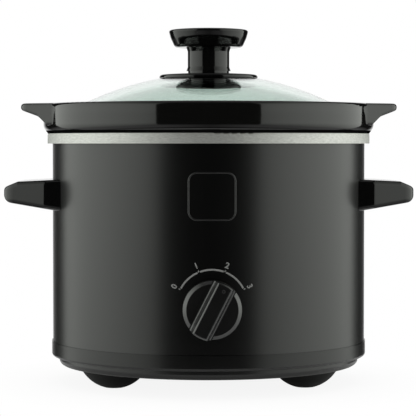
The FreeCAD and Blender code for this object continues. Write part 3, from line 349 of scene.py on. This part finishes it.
def even_rounds(piece, upright_below=0.0):
    """Give each outer ring of corners its usual slope, or none where that is small."""
    mesh = piece.data
    normals = [corner.vector.copy() for corner in mesh.corner_normals]
    rings = {}
    for face in mesh.polygons:
        outward = face.center.xy.normalized()
        if abs(face.normal.y * outward.x - face.normal.x * outward.y) > TURNED_TWIST:
            continue
        face_slope = slope(face.normal, outward)
        for corner in face.loop_indices:
            place = mesh.vertices[mesh.loops[corner].vertex_index].co
            radius = place.xy.length
            if radius > EVEN_FROM:
                ring = rings.setdefault((round(radius / RING_STEP), round(place.z / RING_STEP)), [])
                ring.append((corner, face, face_slope, place.xy.normalized()))
    for ring in rings.values():
        kinds = {}
        for corner, face, face_slope, outward in ring:
            kind = kinds.setdefault(round(face_slope / SLOPE_STEP), [])
            kind.append(slope(normals[corner], outward))
        usual = [sorted(kind)[len(kind) // 2] for kind in kinds.values() if len(kind) >= RING_LEAST]
        if not usual:
            continue
        for corner, face, face_slope, outward in ring:
            nearest = min(usual, key=lambda angle: abs(angle - face_slope))
            if abs(nearest) < upright_below:
                nearest = 0.0
            flat = math.cos(nearest)
            normals[corner] = Vector((outward.x * flat, outward.y * flat, math.sin(nearest)))
            face.use_smooth = True
    mesh.normals_split_custom_set(normals)


even_rounds(nodes["crock"])
even_rounds(nodes["heating_liner"], FLANGE_EDGE_SLOPE)


# Thin trim on the drum and the dial, and a dark ring of painted shade on the flange

INK_THICKNESS = 0.05 * MM
INK_SUNK = 0.03 * MM
WELD_DISTANCE = 0.001 * MM


def new_object(name, mesh_source, material):
    """Turn a bmesh into an object with one material."""
    mesh = bpy.data.meshes.new(name)
    mesh_source.to_mesh(mesh)
    mesh_source.free()
    mesh.materials.append(material)
    piece = bpy.data.objects.new(name, mesh)
    bpy.context.scene.collection.objects.link(piece)
    return piece


def add_piece(name, mesh_source, material, body):
    """Turn a bmesh into a piece that rides on a body."""
    bmesh.ops.recalc_face_normals(mesh_source, faces=mesh_source.faces)
    piece = new_object(name, mesh_source, material)
    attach(piece, body)
    return piece


def bend_on_shell(flat):
    """Bend a bmesh, drawn across, up and out in metres, around the drum's front."""
    for vertex in flat.verts:
        across, up, out = vertex.co
        radius = shell_radius + out
        turn = across / shell_radius
        vertex.co = Vector((radius * math.sin(turn), -radius * math.cos(turn), up))
    return flat


def ink(flat):
    """Give flat shapes the thickness of a print, sunk a little into what carries it."""
    raised = bmesh.ops.extrude_face_region(flat, geom=flat.faces[:], use_keep_orig=True)["geom"]
    for vertex in flat.verts:
        vertex.co.z = -INK_SUNK
    for vertex in raised:
        if isinstance(vertex, bmesh.types.BMVert):
            vertex.co.z = INK_THICKNESS
    return flat


def strip(flat, first, second, closed=False):
    """Fill the band between two lines of points."""
    lines = [[flat.verts.new(point) for point in line] for line in (first, second)]
    count = len(first)
    for index in range(count if closed else count - 1):
        following = (index + 1) % count
        flat.faces.new((lines[0][index], lines[0][following], lines[1][following], lines[1][index]))


SCALE_RADIUS = 21.05 * MM
SCALE_RAISE = 2.4 * MM
SCALE_LINE = 1.05 * MM
SCALE_GAP = math.radians(2.0)
SCALE_STEPS = 24
SETTING_ANGLES = [math.radians(angle) for angle in (-64, -22, 21, 64)]
TICK_LENGTH = 1.1 * MM
TICK_WIDTH = 0.6 * MM
NUMBER_HEIGHT = 3.4 * MM
NUMBER_RADIUS = 25.0 * MM
NUMBER_STROKE = 0.14 * MM
# How much of a font's size its numbers fill, and the steps along each of their curves
NUMBER_SHARE = 0.7
NUMBER_STEPS = 6


def clock_point(radius, angle):
    """A flat point of the dial's scale, from its top and clockwise."""
    middle = dial_center.z + SCALE_RAISE
    return dial_center.x + radius * math.sin(angle), middle + radius * math.cos(angle), 0


def dial_scale():
    """Three arcs between the dial's four settings, with a tick at each."""
    flat = bmesh.new()
    for first, last in zip(SETTING_ANGLES, SETTING_ANGLES[1:]):
        start = first + SCALE_GAP
        step = (last - SCALE_GAP - start) / SCALE_STEPS
        angles = [start + step * index for index in range(SCALE_STEPS + 1)]
        strip(
            flat,
            [clock_point(SCALE_RADIUS - SCALE_LINE / 2, angle) for angle in angles],
            [clock_point(SCALE_RADIUS + SCALE_LINE / 2, angle) for angle in angles],
        )
    for angle in SETTING_ANGLES:
        half = TICK_WIDTH / 2 / SCALE_RADIUS
        edges = (angle - half, angle + half)
        strip(
            flat,
            [clock_point(SCALE_RADIUS, edge) for edge in edges],
            [clock_point(SCALE_RADIUS + TICK_LENGTH, edge) for edge in edges],
        )
    add_piece("dial_scale", bend_on_shell(ink(flat)), PRINT, "base")


def dial_numbers():
    """Plain numbers, one for each setting, turned to follow the scale."""
    for number, angle in enumerate(SETTING_ANGLES):
        curve = bpy.data.curves.new(f"number_{number}", "FONT")
        curve.body = str(number)
        curve.size = NUMBER_HEIGHT / NUMBER_SHARE
        curve.align_x = "CENTER"
        curve.align_y = "CENTER"
        curve.resolution_u = NUMBER_STEPS
        curve.offset = NUMBER_STROKE
        text = bpy.data.objects.new(f"text_{number}", curve)
        bpy.context.scene.collection.objects.link(text)
        bpy.context.view_layer.update()
        flat = bmesh.new()
        flat.from_mesh(text.to_mesh())
        bpy.data.objects.remove(text)
        bmesh.ops.remove_doubles(flat, verts=flat.verts, dist=WELD_DISTANCE)
        place = Matrix.Translation(clock_point(NUMBER_RADIUS, angle))
        turned = place @ Matrix.Rotation(-angle, 4, "Z")
        bmesh.ops.transform(flat, matrix=turned, verts=flat.verts)
        add_piece(f"dial_number_{number}", bend_on_shell(ink(flat)), PRINT, "base")


BADGE_SIZE = 29.0 * MM
BADGE_CORNER = 5.5 * MM
BADGE_LINE = 1.15 * MM
BADGE_HEIGHT = 121.3 * MM
BADGE_PROUD = 0.5 * MM
CORNER_STEPS = 12
EDGE_STEPS = 8
RIDGE_STEPS = 10


def rounded_square(inset, out):
    """Points around the badge, a square with round corners, close enough together to bend."""
    half = BADGE_SIZE / 2 - inset
    corner = BADGE_CORNER - inset
    straight = half - corner
    points = []
    for quarter in range(4):
        turn = Matrix.Rotation(math.radians(90) * quarter, 2)
        for index in range(EDGE_STEPS):
            points.append(turn @ Vector((half, straight * (2 * index / EDGE_STEPS - 1))))
        for index in range(CORNER_STEPS):
            angle = math.radians(90) * index / CORNER_STEPS
            arm = Vector((math.cos(angle), math.sin(angle))) * corner
            points.append(turn @ (Vector((straight, straight)) + arm))
    return [(point.x, point.y + BADGE_HEIGHT, out) for point in points]


def badge_frame():
    """A bare square ridge with a round top, pressed into the drum's front, its enamel painted lighter as a
    highlight along the ridge.
    """
    flat = bmesh.new()
    rows = []
    for index in range(RIDGE_STEPS + 1):
        angle = math.pi * index / RIDGE_STEPS
        inset = BADGE_LINE * (1 - math.cos(angle)) / 2
        rows.append(rounded_square(inset, BADGE_PROUD * math.sin(angle) - INK_SUNK))
    for first, second in zip(rows, rows[1:]):
        strip(flat, first, second, closed=True)
    bmesh.ops.remove_doubles(flat, verts=flat.verts, dist=WELD_DISTANCE)
    add_piece("badge_frame", bend_on_shell(flat), HIGHLIGHT_RIDGE, "base").data.shade_smooth()


MARK_RADIUS = 1.0 * MM
MARK_LINE = 0.35 * MM
MARK_REACH = 13.4 * MM
MARK_ANGLE = math.radians(28.5)
MARK_STEPS = 32


def dial_mark():
    """A small pale ring near the pointing end of the dial's grip: a pointer mark, and a painted highlight where a
    small dimple's rim would catch the light.
    """
    flat = bmesh.new()
    turns = [2 * math.pi * index / MARK_STEPS for index in range(MARK_STEPS)]
    outer, inner = (
        [(radius * math.cos(turn), radius * math.sin(turn), 0) for turn in turns]
        for radius in (MARK_RADIUS, MARK_RADIUS - MARK_LINE)
    )
    strip(flat, outer, inner, closed=True)
    ink(flat)
    grip_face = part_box("control_knob")[0].y
    for vertex in flat.verts:
        across, up, out = vertex.co
        vertex.co = Vector((
            dial_center.x + MARK_REACH * math.sin(MARK_ANGLE) + across,
            grip_face - out,
            dial_center.z + MARK_REACH * math.cos(MARK_ANGLE) + up,
        ))
    add_piece("dial_mark", flat, POINTER_HIGHLIGHT, "dial")


SEAL_INNER = 100.9 * MM
SEAL_FOOT = 102.95 * MM
SEAL_OUTER = 104.3 * MM
SEAL_LIP = 0.22 * MM
SEAL_SUNK = 0.05 * MM
SEAL_CLEARANCE = 0.06 * MM
FLANGE_ROUND = 1.5 * MM
FLANGE_ROUND_CENTER = 101.7 * MM
RIM_ROUND = 5.5 * MM
RIM_ROUND_CENTER = 100.35 * MM
SEAL_STEPS = 6
SEAL_SEGMENTS = 192


def sagging(round_radius, reach):
    """How far a round falls away from its flat at a reach beyond where it starts."""
    return round_radius - math.sqrt(round_radius ** 2 - max(reach, 0) ** 2)


def rim_seal():
    """A black ring in the wedge between the bright flange and the round under the crock's rim: painted shade,
    standing in for the dark gap there.
    """
    flange_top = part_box("heating_liner")[1].z
    profile = []
    for index in range(SEAL_STEPS + 1):
        radius = SEAL_INNER + (SEAL_FOOT - SEAL_INNER) * index / SEAL_STEPS
        fall = min(sagging(FLANGE_ROUND, radius - FLANGE_ROUND_CENTER), SEAL_LIP)
        profile.append((radius, flange_top - fall - SEAL_SUNK))
    for index in range(SEAL_STEPS + 1):
        radius = SEAL_OUTER + (SEAL_INNER - SEAL_OUTER) * index / SEAL_STEPS
        rise = sagging(RIM_ROUND, radius - RIM_ROUND_CENTER)
        profile.append((radius, flange_top + rise - SEAL_CLEARANCE))
    ring = bmesh.new()
    lines = []
    for index in range(SEAL_SEGMENTS):
        turn = 2 * math.pi * index / SEAL_SEGMENTS
        across, along = math.cos(turn), math.sin(turn)
        lines.append([(radius * across, radius * along, height) for radius, height in profile])
    for index, line in enumerate(lines):
        strip(ring, line, lines[(index + 1) % SEAL_SEGMENTS], closed=True)
    bmesh.ops.remove_doubles(ring, verts=ring.verts, dist=WELD_DISTANCE)
    add_piece("rim_seal", ring, GAP_SHADE, "base")


dial_scale()
dial_numbers()
badge_frame()
dial_mark()
rim_seal()


# Stage, light and camera


def any_of(make, path, *names):
    """One where any of the named ray types holds."""
    total = path.outputs[names[0]]
    for name in names[1:]:
        total = make.math("MAXIMUM", total, path.outputs[name])
    return total


def stage_piece(name, mesh_source, material):
    """An object that belongs to the studio and not to the cooker."""
    piece = new_object(name, mesh_source, material)
    return piece


def empty_material(name):
    """A material with no nodes yet, and its node helper."""
    material = bpy.data.materials.new(name)
    material.use_nodes = True
    make = Nodes(material.node_tree)
    make.tree.nodes.clear()
    return material, make


def paper_floor():
    """White paper that shows the pot's shadow near the feet and fades into the backdrop."""
    material, make = empty_material("white_paper")
    place = make.add("ShaderNodeTexCoord").outputs["Object"]
    length = make.add("ShaderNodeVectorMath", {"operation": "LENGTH"}, Vector=place)
    distance = length.outputs["Value"]
    path = make.add("ShaderNodeLightPath")
    glowing = 0.0
    for shares, rays in (
        (PAPER_SHADOW_SHARES, ["Is Camera Ray"]),
        (PAPER_MIRRORED_SHARES, ["Is Glossy Ray", "Is Transmission Ray"]),
    ):
        lightened = make.math("SUBTRACT", 1.0, make.ramp(distance, shares))
        seen = make.math("MULTIPLY", any_of(make, path, *rays), lightened)
        glowing = make.math("MAXIMUM", glowing, seen)
    lit = make.add("ShaderNodeBsdfDiffuse", Color=PAPER_COLOR)
    glow = make.add("ShaderNodeEmission", Color=WHITE, Strength=1.0)
    mix = make.add("ShaderNodeMixShader")
    make.set(mix.inputs[0], glowing)
    make.set(mix.inputs[1], lit.outputs[0])
    make.set(mix.inputs[2], glow.outputs[0])
    output = make.add("ShaderNodeOutputMaterial")
    make.set(output.inputs["Surface"], mix.outputs[0])
    mesh_source = bmesh.new()
    bmesh.ops.create_circle(
        mesh_source, cap_ends=True, segments=PAPER_SEGMENTS, radius=PAPER_RADIUS,
    )
    stage_piece("paper", mesh_source, material)


def room():
    """White where the camera or the glass looks and behind the pot, with a pale table below."""
    world = bpy.data.worlds.new("studio")
    bpy.context.scene.world = world
    world.use_nodes = True
    make = Nodes(world.node_tree)
    make.tree.nodes.clear()
    path = make.add("ShaderNodeLightPath")
    toward = make.add("ShaderNodeTexCoord").outputs["Generated"]
    parts = make.add("ShaderNodeSeparateXYZ", Vector=toward)
    sideways = make.math("ABSOLUTE", parts.outputs["X"])
    off_axis = make.math("ARCTAN2", sideways, parts.outputs["Y"])
    behind = make.math(
        "MULTIPLY",
        make.between(off_axis, BACKDROP_END, BACKDROP_FULL),
        make.between(parts.outputs["Z"], BACKDROP_TOP_END, BACKDROP_TOP),
    )
    unreflected = make.math("LESS_THAN", path.outputs["Glossy Depth"], 1.0)
    rearward = make.math("GREATER_THAN", parts.outputs["Y"], REAR_START)
    upward = make.math("GREATER_THAN", parts.outputs["Z"], 0.0)
    clear = make.math("MAXIMUM", unreflected, make.math("MULTIPLY", rearward, upward))
    through_glass = make.math("MULTIPLY", path.outputs["Is Transmission Ray"], clear)
    bounced = any_of(make, path, "Is Glossy Ray", "Is Transmission Ray")
    mirrored = make.math("MULTIPLY", behind, bounced)
    past_pot = make.math("MAXIMUM", through_glass, mirrored)
    white = make.math("MAXIMUM", path.outputs["Is Camera Ray"], past_pot)
    fill = make.math("MULTIPLY", path.outputs["Is Diffuse Ray"], ROOM_FILL - ROOM_LEVEL)
    dim = make.math("ADD", fill, ROOM_LEVEL)
    table = make.math(
        "MULTIPLY",
        make.between(parts.outputs["Z"], TABLE_START, TABLE_FULL),
        make.spread(sideways, TABLE_FRONT_LEVEL, TABLE_SIDE_LEVEL),
    )
    unshaded = make.between(parts.outputs["Z"], TABLE_SHADE_FULL, TABLE_SHADE_START)
    table = make.math("MULTIPLY", table, unshaded)
    below = make.math("MULTIPLY", path.outputs["Is Glossy Ray"], table)
    level = make.math("MAXIMUM", white, make.math("MAXIMUM", below, dim))
    light = make.add("ShaderNodeBackground", Color=WHITE, Strength=level)
    output = make.add("ShaderNodeOutputWorld")
    make.set(output.inputs["Surface"], light.outputs[0])


def along_softbox(bearing):
    """Where a softbox is met at a bearing off the camera."""
    return -SOFTBOX_DISTANCE / math.tan(bearing)


def softboxes():
    """Two upright panels that shine less towards the camera."""
    material, make = empty_material("softbox")
    place = make.add("ShaderNodeTexCoord").outputs["Object"]
    parts = make.add("ShaderNodeSeparateXYZ", Vector=place)
    along = make.map_range(
        parts.outputs["Y"],
        (along_softbox(SOFTBOX_NEAR), along_softbox(SOFTBOX_FULL)),
        (SOFTBOX_NEAR_RADIANCE, SOFTBOX_RADIANCE),
    )
    upward = make.ramp(parts.outputs["Z"], SOFTBOX_SHARES)
    strength = make.math("MULTIPLY", along, upward)
    glow = make.add("ShaderNodeEmission", Color=SOFTBOX_COLOR, Strength=strength)
    output = make.add("ShaderNodeOutputMaterial")
    make.set(output.inputs["Surface"], glow.outputs[0])
    for side, name in ((-1, "softbox_left"), (1, "softbox_right")):
        mesh_source = bmesh.new()
        corners = [
            mesh_source.verts.new((side * SOFTBOX_DISTANCE, along_softbox(bearing), height))
            for bearing, height in (
                (SOFTBOX_NEAR, SOFTBOX_LOW), (SOFTBOX_FAR, SOFTBOX_LOW),
                (SOFTBOX_FAR, SOFTBOX_HIGH), (SOFTBOX_NEAR, SOFTBOX_HIGH),
            )
        ]
        mesh_source.faces.new(corners)
        panel = stage_piece(name, mesh_source, material)
        panel.rotation_euler.z = CAMERA_AZIMUTH
        panel.visible_camera = False


def top_light():
    """A square lamp above the pot."""
    light = bpy.data.lights.new("top_light", "AREA")
    light.shape = "SQUARE"
    light.size = TOP_LIGHT_SIZE
    light.energy = TOP_LIGHT_RADIANCE * TOP_LIGHT_SIZE ** 2 * math.pi
    lamp = bpy.data.objects.new("top_light", light)
    lamp.location = (0, 0, TOP_LIGHT_HEIGHT)
    lamp.visible_camera = False
    bpy.context.scene.collection.objects.link(lamp)


def camera():
    """The photograph's camera, level with the pot and looking a little down."""
    data = bpy.data.cameras.new("camera")
    data.sensor_width = SENSOR_WIDTH
    data.lens = FOCAL_PIXELS / IMAGE_PIXELS * SENSOR_WIDTH
    data.clip_start = CLIP_START
    data.clip_end = CLIP_END
    data.shift_x = (IMAGE_PIXELS / 2 - AXIS_PIXEL) / IMAGE_PIXELS
    view = bpy.data.objects.new("camera", data)
    back = Vector((math.sin(CAMERA_AZIMUTH), -math.cos(CAMERA_AZIMUTH), 0))
    pitch = math.atan((IMAGE_PIXELS / 2 - HORIZON_PIXEL) / FOCAL_PIXELS)
    view.location = back * CAMERA_DISTANCE + Vector((0, 0, CAMERA_HEIGHT))
    ahead = -back * math.cos(pitch) - Vector((0, 0, math.sin(pitch)))
    view.rotation_mode = "QUATERNION"
    view.rotation_quaternion = ahead.to_track_quat("-Z", "Y")
    bpy.context.scene.collection.objects.link(view)
    bpy.context.scene.camera = view


paper_floor()
room()
softboxes()
top_light()
camera()
bpy.context.scene.view_settings.view_transform = "Standard"
